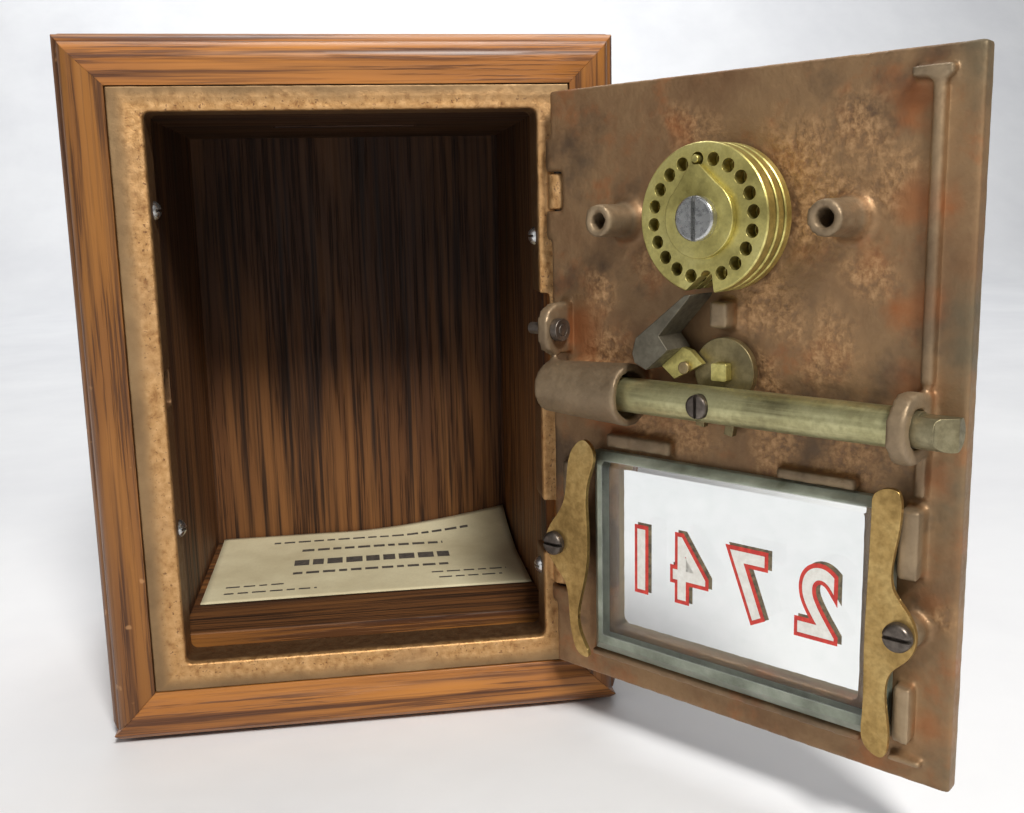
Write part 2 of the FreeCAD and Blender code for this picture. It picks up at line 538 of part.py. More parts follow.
def cam():
    """A disc with a forked arm that straddles the bolt's drive screw, behind the bolt."""
    disc = door_post(CAM_U, CAM_Z, CAM_R, CAM_H, CAM_H + CAM_T)
    rest = math.atan2(CAM_U - BOLT_SCREW_U, CAM_Z - BOLT_Z)
    along = (-math.sin(rest), -math.cos(rest))
    across = (along[1], -along[0])

    def spot(r, w):
        return CAM_U + along[0] * r + across[0] * w, CAM_Z + along[1] * r + across[1] * w

    arm = door_plate([spot(2, -4.0), spot(11.4, -4.0), spot(11.4, 4.0), spot(2, 4.0)], CAM_H, CAM_H + CAM_T)
    slot = door_plate([spot(4.2, -2.2), spot(12, -2.2), spot(12, 2.2), spot(4.2, 2.2)], CAM_H - 1, CAM_H + 3)
    return fuse([disc, arm]).cut(slot)


def build_fence():
    bar = door_plate([(38.9, 84.55), (40.2, 84.7), (39.7, 83.9), (33.4, 77.0), (35.4, 74.5), (30.6, 70.5),
                      (28.0, 71.6), (27.4, 73.4), (28.2, 76.3)], 1.5, 9.0)
    save_on_door("fence_bar", bar)
    link = [(35.5, 74.6), (37.3, 74.1), (39.8, 71.8), (33.8, 68.6), (31.0, 70.8)]
    save_on_door("fence_link", door_plate(link, 3.0, 4.4).cut(bar))
    save_on_door("fence_rivet", door_post(36.3, 70.9, 1.15, 4.4, 5.3))


def build_bolt():
    shaft = door_rail(BOLT_START, SHOULDER, BOLT_H, BOLT_Z, BOLT_R)
    ends = [e for e in shaft.Edges if abs(e.Length - 2 * math.pi * BOLT_R) < 1e-3]
    shaft = shaft.makeChamfer(0.4, ends)
    hole = door_post(BOLT_SCREW_U, BOLT_Z, 1.12, 0, 20)
    seat = door_post(BOLT_SCREW_U, BOLT_Z, 2.3, BOLT_H + 2.2, 20)
    save_on_door("bolt_shaft", shaft.cut(hole).cut(seat))
    tip = door_rail(SHOULDER, TIP_END, BOLT_H, BOLT_Z, TIP_R)
    bevel = [(84.4, 4.0), (84.4, 2.4), (TIP_END + 1, -1.6), (TIP_END + 1, 4.0)]
    bevel = face_prism([on_door(u, BOLT_H + h, BOLT_Z - 5) for u, h in bevel], (0, 0, 10))
    flat = door_box(COLLAR_END + 0.5, TIP_END + 1, 0, 20, BOLT_Z + 2.4, BOLT_Z + 5)
    save_on_door("bolt_tip", tip.cut(bevel).cut(flat))
    head = door_post(BOLT_SCREW_U, BOLT_Z, 2.2, BOLT_H + 2.25, BOLT_H + 4.1)
    rim = [e for e in head.Edges if abs(e.CenterOfMass.y - (DOOR_BACK + BOLT_H + 4.1)) < 1e-6]
    head = head.makeFillet(0.6, rim)
    slot = door_box(BOLT_SCREW_U - 0.35, BOLT_SCREW_U + 0.35, BOLT_H + 3.3, 20, BOLT_Z - 4, BOLT_Z + 4)
    shank = door_post(BOLT_SCREW_U, BOLT_Z, 1.1, CAM_H + 0.1, BOLT_H + 2.3)
    save_on_door("bolt_drive_screw", fuse([head.cut(slot), shank]))
    save_on_door("bolt_spring", spring())


def spring():
    """The return spring, between the blind end of the sleeve and the end of the thrown bolt."""
    wire, radius, turns = 0.4, 2.6, 6
    low, high = SLEEVE_START + 2.5 + wire + 0.1, BOLT_START - wire - 0.1
    coil = Part.makeHelix((high - low) / turns, high - low, radius)
    profile = Part.Wire(Part.makeCircle(wire, V(radius, 0, 0), V(0, 1, 0)).Edges)
    solid = Part.Wire(coil.Edges).makePipeShell([profile], True, True)
    solid.rotate(V(0, 0, 0), V(0, 1, 0), -90)
    solid.translate(V(*on_door(low, BOLT_H, BOLT_Z)))
    return solid


# ---- paper card in the case ---------------------------------------------------------------------
def build_card():
    save("paper_card", box(-40.0, 41.0, 30.0, 82.5, up(FLOOR_Z), up(FLOOR_Z) + 0.5))


build_case()
build_mouldings()
build_frame()
build_door()
build_window()
build_guard()
build_wheels()
build_dial_knob()
build_latch()
build_fence()
build_bolt()
build_card()
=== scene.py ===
import json
import math

import bmesh
import bpy
from mathutils import Matrix, Vector, noise

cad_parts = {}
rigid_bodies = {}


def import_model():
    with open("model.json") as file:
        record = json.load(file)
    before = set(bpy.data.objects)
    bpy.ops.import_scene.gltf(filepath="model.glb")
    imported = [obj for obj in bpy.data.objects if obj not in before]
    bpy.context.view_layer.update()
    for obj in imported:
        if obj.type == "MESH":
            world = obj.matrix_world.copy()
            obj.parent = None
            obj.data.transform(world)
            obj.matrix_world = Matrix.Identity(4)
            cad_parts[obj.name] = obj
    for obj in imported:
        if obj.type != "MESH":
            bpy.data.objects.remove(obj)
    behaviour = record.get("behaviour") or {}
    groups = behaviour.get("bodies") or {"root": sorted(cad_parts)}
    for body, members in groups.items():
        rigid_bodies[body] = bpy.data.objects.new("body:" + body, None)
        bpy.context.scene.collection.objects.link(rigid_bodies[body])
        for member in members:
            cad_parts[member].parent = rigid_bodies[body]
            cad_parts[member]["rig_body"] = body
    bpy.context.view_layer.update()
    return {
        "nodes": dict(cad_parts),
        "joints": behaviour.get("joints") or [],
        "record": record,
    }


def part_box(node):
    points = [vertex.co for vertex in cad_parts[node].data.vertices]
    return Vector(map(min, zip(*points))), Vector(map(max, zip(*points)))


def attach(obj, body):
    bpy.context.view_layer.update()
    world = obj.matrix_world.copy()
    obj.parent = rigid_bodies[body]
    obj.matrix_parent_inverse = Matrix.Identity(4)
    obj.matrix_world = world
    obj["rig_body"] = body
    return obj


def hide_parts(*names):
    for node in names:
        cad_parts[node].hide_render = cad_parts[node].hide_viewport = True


# Looks of an oak coin bank with a cast bronze post office box door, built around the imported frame.
# Metres. Every piece is a finer copy of a CAD node, or a new piece where the looks need more.

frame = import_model()

MM = 0.001
JOINTS = {joint["name"]: joint for joint in frame["joints"]}
SLOT_OF = {part["node"]: part["material_slot"] for part in frame["record"]["subparts"]}
HINGE = Vector(JOINTS["door_hinge"]["pos_m"])
OPEN_ANGLE = -math.radians(JOINTS["door_hinge"]["range_deg"][0])
FRAME_LOW, FRAME_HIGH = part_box("door_frame")
FACE_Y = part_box("moulding_top")[0].y + 1.6 * MM    # front face of the bronze frame
FRAME_MID_Z = (FRAME_LOW.z + FRAME_HIGH.z) / 2
FRAME_HALF_W, FRAME_HALF_H = FRAME_HIGH.x, (FRAME_HIGH.z - FRAME_LOW.z) / 2
WHEEL = Vector(JOINTS["dial_turn"]["pos_m"])
# DOOR_OUT runs along the door away from its hinge, and DOOR_IN stands off its inner face.
DOOR_OUT = Vector((math.cos(OPEN_ANGLE + math.pi), math.sin(OPEN_ANGLE + math.pi), 0))
DOOR_IN = Vector((-math.sin(OPEN_ANGLE), math.cos(OPEN_ANGLE), 0))
UP = Vector((0, 0, 1))
DOOR_SHUT = Matrix.Translation(HINGE) @ Matrix.Rotation(-OPEN_ANGLE, 4, "Z") @ Matrix.Translation(-HINGE)
DIAL_U, DIAL_Z = 42.65, 98.0                       # the dial's place on the door, in mm
DOOR_ORIGIN = WHEEL - DOOR_OUT * (DIAL_U * MM)     # foot of the hinge edge on the door's inner face

# Places in mm. On the door: u from its hinge edge, h off its inner face, z above the frame's lower edge.
DOOR_WIDTH = 86.1
DOOR_THICK, RING_PROUD = 3.6, 1.2
BOLT_H, BOLT_Z = 6.2, 64.9
SLEEVE_BORE = (7.6, 26.0, 3.7)                     # u from, u to, radius cleared for the bolt
COLLAR_BORE = (77.0, 82.0, 3.25)
CLEAR_U, CLEAR_Z = (16.2, 73.2), (13.6, 50.2)      # the glass inside its ground border
CAVITY_HALF_W, CAVITY_MID_Z, CAVITY_HALF_H, CAVITY_DEPTH = 41.9, 64.6, 56.7, 83.4


def door_point(u, h, z):
    """A point from mm on the door: u from the hinge edge, h off the inner face, z above the frame's foot."""
    flat = DOOR_ORIGIN + DOOR_OUT * (u * MM) + DOOR_IN * (h * MM)
    return Vector((flat.x, flat.y, FRAME_LOW.z + z * MM))


# ---- shader building ----------------------------------------------------------------------------
class Paint:
    """A material's node tree, put together a step at a time. Vectors are in metres."""

    def __init__(self, name, **sockets):
        self.material = bpy.data.materials.new(name)
        self.material.use_nodes = True
        self.tree = self.material.node_tree
        self.shader = self.tree.nodes["Principled BSDF"]
        for label, value in sockets.items():
            self.shader.inputs[label.replace("_", " ")].default_value = value

    def add(self, kind, inputs, **settings):
        node = self.tree.nodes.new("ShaderNode" + kind)
        for key, value in settings.items():
            setattr(node, key, value)
        for key, value in inputs.items():
            if isinstance(value, bpy.types.NodeSocket):
                self.tree.links.new(value, node.inputs[key])
            else:
                node.inputs[key].default_value = value
        return node

    def set(self, label, socket):
        self.tree.links.new(socket, self.shader.inputs[label])

    def place(self, scale=(1, 1, 1), shift=(0, 0, 0), on_door=False):
        coords = self.add("TexCoord", {}).outputs["Object"]
        if on_door:
            turn = {"Vector": coords, "Center": HINGE, "Angle": -OPEN_ANGLE}
            coords = self.add("VectorRotate", turn, rotation_type="Z_AXIS").outputs[0]
        moved = {"Vector": coords, "Location": shift, "Scale": scale}
        return self.add("Mapping", moved).outputs[0]

    def noise(self, at, scale, detail=4.0, roughness=0.6, distortion=0.0):
        inputs = {"Vector": at, "Scale": scale, "Detail": detail, "Roughness": roughness,
                  "Distortion": distortion}
        return self.add("TexNoise", inputs).outputs["Fac"]

    def calc(self, operation, a, b=0.0):
        return self.add("Math", {0: a, 1: b}, operation=operation).outputs[0]

    def fade(self, value, low, high, start=0.0, end=1.0):
        inputs = {"Value": value, "From Min": low, "From Max": high, "To Min": start, "To Max": end}
        return self.add("MapRange", inputs, interpolation_type="SMOOTHSTEP").outputs[0]

    def ramp(self, value, *stops):
        node = self.add("ValToRGB", {"Fac": value})
        elements = node.color_ramp.elements
        while len(elements) < len(stops):
            elements.new(0.5)
        for element, (place, colour) in zip(elements, stops):
            element.position = place
            element.color = (*colour, 1)
        return node.outputs[0]

    def mix(self, factor, a, b):
        first = (*a, 1) if isinstance(a, tuple) else a
        second = (*b, 1) if isinstance(b, tuple) else b
        return self.add("Mix", {0: factor, 6: first, 7: second}, data_type="RGBA").outputs[2]

    def axes(self, at):
        return self.add("SeparateXYZ", {"Vector": at}).outputs

    def warp(self, at, scale, reach):
        """Coordinates pushed about by up to half of `reach` metres, for ragged edges."""
        shake = self.add("TexNoise", {"Vector": at, "Scale": scale, "Detail": 4.0}).outputs["Color"]
        centred = self.add("VectorMath", {0: shake, 1: (0.5, 0.5, 0.5)}, operation="SUBTRACT").outputs[0]
        moved = self.add("VectorMath", {0: centred, "Scale": reach}, operation="SCALE").outputs[0]
        return self.add("VectorMath", {0: at, 1: moved}, operation="ADD").outputs[0]

    def near(self, at, point, full, gone):
        """1 within `full` metres of a point and 0 beyond `gone`."""
        away = self.add("VectorMath", {0: at, 1: point}, operation="DISTANCE").outputs["Value"]
        return self.fade(away, full, gone, 1.0, 0.0)

    def bump(self, *heights):
        """Bump from (height socket, depth in metres, strength), coarse first."""
        normal = None
        for height, depth, strength in heights:
            inputs = {"Height": height, "Distance": depth, "Strength": strength}
            if normal is not None:
                inputs["Normal"] = normal
            normal = self.add("Bump", inputs).outputs[0]
        self.set("Normal", normal)


def in_cavity(paint):
    """1 on the case's inner faces and 0 outside it."""
    x, y, z = paint.axes(paint.place())[:3]
    across = paint.calc("SUBTRACT", paint.calc("ABSOLUTE", x), CAVITY_HALF_W * MM)
    height = paint.calc("ABSOLUTE", paint.calc("SUBTRACT", z, FRAME_LOW.z + CAVITY_MID_Z * MM))
    behind = paint.calc("SUBTRACT", y, FACE_Y + CAVITY_DEPTH * MM)
    above = paint.calc("SUBTRACT", height, CAVITY_HALF_H * MM)
    beyond = paint.calc("MAXIMUM", paint.calc("MAXIMUM", across, behind), above)
    return paint.fade(beyond, 0.0, 0.3 * MM, 1.0, 0.0)


def oak(name, along, tones, roughness, seed, coat=0.0, worn=None, cavity_shade_tones=None):
    """Flat-sawn oak: rings as level lines of a stretched noise, dark pores in their early wood."""
    paint = Paint(name, Coat_Weight=coat, Coat_Roughness=0.3, Specular_IOR_Level=0.3)
    light, mid, dark = tones
    if cavity_shade_tones:
        # painted shade: on the cavity's faces the oak takes the darker tones that stand in for the shade
        # inside the box
        inside = in_cavity(paint)
        light, mid, dark = [paint.mix(inside, outer, inner) for outer, inner in zip(tones, cavity_shade_tones)]
    axis = "xyz".index(along)
    at = paint.place(scale=[0.07 if k == axis else 1 for k in range(3)], shift=(seed, seed * 1.7, seed * 2.3))
    thin = paint.place(scale=[0.02 if k == axis else 1 for k in range(3)], shift=(seed, 0, seed))
    field = paint.noise(at, 26, detail=2.0, roughness=0.4, distortion=0.3)
    rings = paint.fade(paint.calc("SINE", paint.calc("MULTIPLY", field, 150.0)), -1.0, 0.9)
    streaks = paint.noise(thin, 420, detail=4, roughness=0.65)
    fine = paint.noise(thin, 1500, detail=3, roughness=0.7)
    tone = paint.noise(at, 60, detail=4, roughness=0.6)
    pores = paint.calc("MULTIPLY", paint.fade(fine, 0.50, 0.60), paint.fade(rings, 0.1, 0.8, 0.3, 1.0))
    colour = paint.mix(paint.fade(tone, 0.35, 0.68), light, mid)
    colour = paint.mix(paint.calc("MULTIPLY", rings, 0.6), colour, mid)
    colour = paint.mix(paint.fade(streaks, 0.47, 0.66, 0.0, 0.9), colour, dark)
    colour = paint.mix(paint.calc("MULTIPLY", pores, 0.7), colour, dark)
    if cavity_shade_tones:    # the inside darkens towards its top
        # painted shade: the inside's oak darkens towards the top, standing in for the shadow that the case's
        # top casts inside it
        height = paint.axes(paint.place())[2]
        painted_top_shade = paint.fade(height, FRAME_LOW.z + 45 * MM, FRAME_LOW.z + 95 * MM, 0.0, 0.6)
        colour = paint.mix(paint.calc("MULTIPLY", painted_top_shade, inside), colour, cavity_shade_tones[2])
    if worn:
        dents = paint.noise(paint.place(shift=(5, seed, 2)), 210, detail=2)
        colour = paint.mix(paint.fade(dents, 0.68, 0.74, 0.0, 0.6), colour, worn)
    paint.set("Base Color", colour)
    paint.set("Roughness", paint.fade(fine, 0.3, 0.7, *roughness))
    paint.bump((rings, 0.08 * MM, 0.3), (streaks, 0.10 * MM, 0.5), (pores, 0.12 * MM, 0.6))
    return paint.material


def metal(name, colours, roughness, metallic=0.85, depth=0.03, streak=None, seed=0.0):
    """Aged metal: three tones broken up by two noises, with fine wear in its roughness and relief."""
    paint = Paint(name, Metallic=metallic)
    at = paint.place(shift=(seed, seed, seed), on_door=True)
    broad = paint.noise(at, 95, detail=5, roughness=0.65)
    fine = paint.noise(at, 900, detail=3, roughness=0.6)
    dark, mid, light = colours
    colour = paint.ramp(broad, (0.28, dark), (0.5, mid), (0.74, light))
    spots = paint.fade(fine, 0.35, 0.7)
    colour = paint.mix(paint.calc("MULTIPLY", spots, 0.35), colour, dark)
    if streak:
        lines = paint.noise(paint.place(scale=streak, on_door=True), 1500, detail=2)
        colour = paint.mix(paint.fade(lines, 0.4, 0.75, 0.0, 0.4), colour, light)
        paint.bump((lines, 0.02 * MM, 0.5), (fine, depth * MM, 0.5))
    else:
        paint.bump((broad, 0.05 * MM, 0.3), (fine, depth * MM, 0.6))
    paint.set("Base Color", colour)
    paint.set("Roughness", paint.fade(fine, 0.3, 0.7, *roughness))
    return paint.material


DARK_BROWN, RED_BROWN, WARM_BROWN = (0.085, 0.060, 0.040), (0.20, 0.108, 0.052), (0.28, 0.170, 0.085)
COPPER, BRIGHT_COPPER, ORANGE = (0.42, 0.235, 0.105), (0.66, 0.41, 0.21), (0.36, 0.125, 0.04)
OLIVE = (0.17, 0.14, 0.085)


def sand_relief(paint, at):
    """The grain of a sand casting, as a height and as speckle."""
    coarse = paint.noise(at, 620, detail=3, roughness=0.65)
    fine = paint.noise(at, 1900, detail=2, roughness=0.6)
    return coarse, fine


def frame_bronze():
    """Coppery sand-cast face with a smooth olive border along the frame's outer edge."""
    paint = Paint("frame_bronze", Metallic=0.72)
    at = paint.place()
    x, y, z = paint.axes(at)[:3]
    side = paint.calc("SUBTRACT", paint.calc("ABSOLUTE", x), FRAME_HALF_W - 3.4 * MM)
    height = paint.calc("ABSOLUTE", paint.calc("SUBTRACT", z, FRAME_MID_Z))
    ends = paint.calc("SUBTRACT", height, FRAME_HALF_H - 2.6 * MM)
    edge = paint.calc("MAXIMUM", side, ends)
    wobble = paint.calc("MULTIPLY", paint.calc("SUBTRACT", paint.noise(at, 130, 3), 0.5), 2.2 * MM)
    border = paint.fade(paint.calc("ADD", edge, wobble), -1.4 * MM, 2.4 * MM)
    coarse, fine = sand_relief(paint, at)
    patch = paint.noise(at, 60, detail=4)
    dull, plain, bright = (0.32, 0.145, 0.050), (0.53, 0.295, 0.115), (0.72, 0.45, 0.21)
    copper = paint.ramp(coarse, (0.25, dull), (0.45, plain), (0.75, bright))
    pits = paint.noise(at, 1400, detail=2)
    copper = paint.mix(paint.fade(pits, 0.63, 0.70, 0.0, 0.75), copper, (0.16, 0.07, 0.035))
    copper = paint.mix(paint.fade(patch, 0.5, 0.75, 0.0, 0.5), copper, (0.40, 0.24, 0.12))
    dark, mid, light = (0.19, 0.115, 0.055), (0.31, 0.195, 0.095), (0.42, 0.28, 0.14)
    olive = paint.ramp(patch, (0.3, dark), (0.6, mid), (0.8, light))
    # painted shade: the frame's faces that run back from its front into the opening are painted near black,
    # standing in for the shade there
    inside = paint.fade(paint.calc("SUBTRACT", y, FACE_Y), 0.8 * MM, 2.6 * MM)
    colour = paint.mix(border, copper, olive)
    colour = paint.mix(paint.calc("MULTIPLY", inside, 0.85), colour, (0.10, 0.050, 0.025))
    paint.set("Base Color", colour)
    paint.set("Roughness", paint.fade(coarse, 0.3, 0.7, 0.45, 0.6))
    height = paint.calc("MULTIPLY", coarse, paint.fade(border, 0.0, 1.0, 1.0, 0.25))
    paint.bump((height, 0.22 * MM, 0.8), (fine, 0.08 * MM, 0.5))
    return paint.material


# Where copper shows on the door: u, z, full radius and outer radius in mm, beside whatever stands up from it.
COPPER_SPOTS = [
    (14, 71.6, 3, 9), (11, 84, 1, 7), (24, 57.5, 2, 8), (34, 56.5, 2, 9), (52, 57.5, 2, 9), (67, 57, 2, 9),
    (60, 98, 3, 13), (56, 108, 2, 11), (50, 83, 2, 10), (66, 112, 0, 10), (62, 76, 1, 10), (75, 62, 1, 8),
    (34, 112, 0, 9), (72, 104, 0, 9), (27, 90, 0, 7), (70, 88, 0, 7), (84, 34, 0, 6), (50, 69, 1, 7),
]
ORANGE_SPOTS = [
    (7.5, 77, 2, 7), (9, 72, 1, 6), (77.5, 100, 1, 6), (77.5, 84, 1, 6), (77.2, 114, 1, 5), (77, 70, 0, 6),
    (16, 59, 1, 6), (81, 56, 0, 5), (82, 38, 0, 5), (81, 12, 0, 6), (32, 112, 0, 5),
]


def spot_mask(paint, at, spots):
    """The strongest of several round fades, drawn from warped coordinates."""
    glow = None
    for u, z, full, gone in spots:
        spot = paint.near(at, DOOR_SHUT @ door_point(u, 0, z), full * MM, gone * MM)
        glow = spot if glow is None else paint.calc("MAXIMUM", glow, spot)
    return glow


def door_bronze():
    """The door's casting: brown patina, grainy copper beside what stands up from it, olive at the edges."""
    paint = Paint("door_bronze", Metallic=0.6)
    at = paint.place(on_door=True)
    ragged = paint.warp(paint.warp(at, 70, 14 * MM), 300, 4 * MM)
    coarse, fine = sand_relief(paint, at)
    broad = paint.noise(at, 45, detail=6, roughness=0.68, distortion=0.5)
    cloud = paint.noise(paint.place(shift=(4, 1, 2), on_door=True), 38, detail=5, roughness=0.62)
    rust = paint.noise(paint.place(shift=(7, 2, 5), on_door=True), 90, detail=5, roughness=0.65)
    colour = paint.ramp(broad, (0.30, RED_BROWN), (0.52, WARM_BROWN), (0.74, (0.35, 0.215, 0.105)))
    colour = paint.mix(paint.fade(rust, 0.52, 0.70, 0.0, 0.55), colour, ORANGE)
    colour = paint.mix(paint.fade(cloud, 0.52, 0.66, 0.0, 0.75), colour, DARK_BROWN)
    speckle = paint.ramp(coarse, (0.32, (0.20, 0.10, 0.055)), (0.5, COPPER), (0.72, BRIGHT_COPPER))
    glow = spot_mask(paint, ragged, COPPER_SPOTS)
    glow = paint.calc("MULTIPLY", glow, paint.fade(coarse, 0.30, 0.62, 0.35, 1.0))
    colour = paint.mix(paint.calc("MULTIPLY", glow, 0.85), colour, speckle)
    heat = spot_mask(paint, ragged, ORANGE_SPOTS)
    colour = paint.mix(paint.calc("MULTIPLY", heat, 0.65), colour, ORANGE)
    across, depth = paint.axes(at)[:2]
    free_edge = paint.calc("SUBTRACT", across, (DOOR_SHUT @ door_point(DOOR_WIDTH, 0, 0)).x)
    olive = paint.calc("MULTIPLY", paint.fade(free_edge, 7 * MM, 1 * MM), paint.fade(cloud, 0.40, 0.62))
    colour = paint.mix(paint.calc("MULTIPLY", olive, 0.7), colour, OLIVE)
    raised = paint.calc("SUBTRACT", depth, (DOOR_SHUT @ door_point(0, 0, 0)).y)
    rubbed = paint.fade(raised, 1.0 * MM, 2.6 * MM)
    dark, mid, light = (0.15, 0.112, 0.070), (0.30, 0.225, 0.14), (0.46, 0.35, 0.22)
    worked = paint.ramp(broad, (0.3, dark), (0.55, mid), (0.8, light))
    colour = paint.mix(paint.calc("MULTIPLY", rubbed, 0.85), colour, worked)
    # the door's front, outside, is handled and even: a dark olive bronze
    front = paint.fade(raised, -2.4 * MM, -3.2 * MM)
    handled = paint.ramp(cloud, (0.3, (0.16, 0.11, 0.055)), (0.7, (0.36, 0.26, 0.13)))
    colour = paint.mix(front, colour, handled)
    high = paint.fade(raised, -4.3 * MM, -4.8 * MM)
    colour = paint.mix(paint.calc("MULTIPLY", high, 0.7), colour, (0.62, 0.46, 0.24))
    paint.set("Base Color", colour)
    paint.set("Roughness", paint.fade(coarse, 0.3, 0.7, 0.42, 0.62))
    grain = paint.calc("MULTIPLY", coarse, paint.fade(glow, 0.0, 1.0, 0.5, 1.0))
    paint.bump((broad, 0.20 * MM, 0.35), (grain, 0.24 * MM, 0.8), (fine, 0.06 * MM, 0.5))
    return paint.material


def pane_glass():
    """Old plate glass: clear in the middle, its bevelled border ground and grey-green with age."""
    paint = Paint("pane_glass", IOR=1.45)
    at = paint.place(on_door=True)
    across, _, height = paint.axes(at)[:3]
    low = DOOR_SHUT @ door_point(CLEAR_U[1], 0, CLEAR_Z[0])
    high = DOOR_SHUT @ door_point(CLEAR_U[0], 0, CLEAR_Z[1])
    left, right = paint.calc("SUBTRACT", low.x, across), paint.calc("SUBTRACT", across, high.x)
    below, above = paint.calc("SUBTRACT", low.z, height), paint.calc("SUBTRACT", height, high.z)
    beyond = paint.calc("MAXIMUM", paint.calc("MAXIMUM", left, right), paint.calc("MAXIMUM", below, above))
    border = paint.fade(beyond, -0.15 * MM, 0.15 * MM)
    dust = paint.noise(at, 260, detail=4)
    stain = paint.noise(at, 120, detail=5, roughness=0.65)
    clear = paint.ramp(dust, (0.4, (0.96, 0.98, 0.97)), (0.8, (0.88, 0.92, 0.90)))
    dark, mid, light = (0.13, 0.145, 0.105), (0.30, 0.33, 0.26), (0.52, 0.54, 0.46)
    ground = paint.ramp(stain, (0.3, dark), (0.55, mid), (0.8, light))
    paint.set("Base Color", paint.mix(border, clear, ground))
    paint.set("Roughness", paint.fade(border, 0.0, 1.0, 0.02, 0.32))
    paint.set("Transmission Weight", paint.fade(border, 0.0, 1.0, 1.0, 0.25))
    paint.bump((stain, 0.05 * MM, 0.1))
    return paint.material


def paper():
    paint = Paint("paper", Roughness=0.85)
    at = paint.place()
    stain = paint.noise(at, 40, detail=5)
    fibre = paint.noise(at, 2400, detail=2)
    yellowed, cream, pale = (0.58, 0.50, 0.31), (0.76, 0.69, 0.46), (0.84, 0.79, 0.57)
    colour = paint.ramp(stain, (0.3, yellowed), (0.6, cream), (0.85, pale))
    paint.set("Base Color", paint.mix(paint.fade(fibre, 0.4, 0.8, 0.0, 0.2), colour, (0.45, 0.36, 0.24)))
    paint.bump((stain, 0.1 * MM, 0.2), (fibre, 0.03 * MM, 0.4))
    return paint.material


def plain_paint(name, dark, light, roughness):
    """Thin paint or print, a little uneven."""
    paint = Paint(name)
    cloud = paint.noise(paint.place(), 900, detail=3)
    paint.set("Base Color", paint.ramp(cloud, (0.35, dark), (0.7, light)))
    paint.set("Roughness", paint.fade(cloud, 0.3, 0.7, roughness, roughness + 0.15))
    return paint.material


OAK_TONES = ((0.58, 0.235, 0.048), (0.34, 0.125, 0.030), (0.085, 0.030, 0.013))
BOARD_SHADE = 0.7                                  # the case's outside beside its mouldings
# painted shade: the same oak made far darker for the case's inside faces, standing in for the shade inside
# the box
CAVITY_SHADE_TONES = ((0.25, 0.105, 0.032), (0.105, 0.040, 0.014), (0.013, 0.006, 0.004))
BRASS = ((0.26, 0.22, 0.065), (0.66, 0.58, 0.20), (0.88, 0.80, 0.34))
CLIP_BRASS = ((0.19, 0.115, 0.035), (0.46, 0.30, 0.105), (0.66, 0.48, 0.20))
OLIVE_ROD = ((0.20, 0.18, 0.090), (0.44, 0.41, 0.21), (0.62, 0.59, 0.33))
WORN = ((0.20, 0.14, 0.07), (0.42, 0.33, 0.17), (0.66, 0.55, 0.33))
CAM_BRONZE = ((0.13, 0.105, 0.055), (0.27, 0.22, 0.11), (0.42, 0.35, 0.17))
TIP_METAL = ((0.12, 0.10, 0.06), (0.26, 0.225, 0.13), (0.42, 0.38, 0.24))
GREY = ((0.055, 0.048, 0.034), (0.12, 0.105, 0.075), (0.21, 0.19, 0.14))
DARK_STEEL = ((0.035, 0.028, 0.024), (0.12, 0.10, 0.085), (0.28, 0.24, 0.20))
BRIGHT_STEEL = ((0.35, 0.35, 0.34), (0.62, 0.62, 0.61), (0.82, 0.82, 0.81))


def moulding_oak(side, along, seed, shade=1.0):
    # painted shade: `shade` scales the whole oak darker, so each side's moulding is a shaded copy of the same
    # wood
    tones = [tuple(part * shade for part in tone) for tone in OAK_TONES]
    worn = (0.46, 0.24, 0.10) if side == "left" else None
    return oak(f"oak_{side}", along, tones, coat=0.15, roughness=(0.36, 0.52), seed=seed, worn=worn)


def board_oak(name, along, seed):
    tones = [tuple(part * BOARD_SHADE for part in tone) for tone in OAK_TONES]
    return oak(f"oak_{name}", along, tones, roughness=(0.5, 0.7), seed=seed, cavity_shade_tones=CAVITY_SHADE_TONES)


MATERIALS = {
    "moulding_top": moulding_oak("top", "x", 1.3),
    # painted shade: the bottom, left and right mouldings are darker copies of the top's oak, standing in for
    # the less light they get
    "moulding_bottom": moulding_oak("bottom", "x", 2.9, shade=0.9),
    "moulding_left": moulding_oak("left", "z", 4.1, shade=0.5),
    "moulding_right": moulding_oak("right", "z", 5.7, shade=0.7),
    "case_side_left": board_oak("side_left", "z", 6.2),
    "case_side_right": board_oak("side_right", "z", 7.7),
    "case_top": board_oak("board_top", "x", 8.4),
    "case_bottom": board_oak("board_bottom", "x", 9.6),
    "case_back": board_oak("back", "z", 10.9),
    "door_frame": frame_bronze(),
    "door_casting": door_bronze(),
    "window_glass": pane_glass(),
    "wheel_brass": metal("wheel_brass", BRASS, roughness=(0.30, 0.48)),
    "clip_brass": metal("clip_brass", CLIP_BRASS, roughness=(0.28, 0.45), seed=2.0),
    "olive_bronze": metal("olive_rod", OLIVE_ROD, roughness=(0.34, 0.5), streak=(0.04, 1, 1), seed=3.0),
    "worn_bronze": metal("worn_bronze", WORN, roughness=(0.35, 0.55), depth=0.06, seed=4.0),
    "latch_cam": metal("cam_bronze", CAM_BRONZE, roughness=(0.35, 0.55), depth=0.04, seed=8.0),
    "bolt_tip": metal("tip_metal", TIP_METAL, roughness=(0.4, 0.6), depth=0.06, seed=9.0),
    "grey_metal": metal("grey_metal", GREY, roughness=(0.42, 0.6), metallic=0.55, depth=0.04, seed=5.0),
    "steel_dark": metal("steel_dark", DARK_STEEL, roughness=(0.32, 0.55), depth=0.05, seed=6.0),
    "steel_bright": metal("steel_bright", BRIGHT_STEEL, roughness=(0.2, 0.38), metallic=0.95, seed=7.0),
}


# ---- objects and meshes -------------------------------------------------------------------------
def new_object(name, data):
    obj = bpy.data.objects.new(name, data)
    bpy.context.scene.collection.objects.link(obj)
    return obj


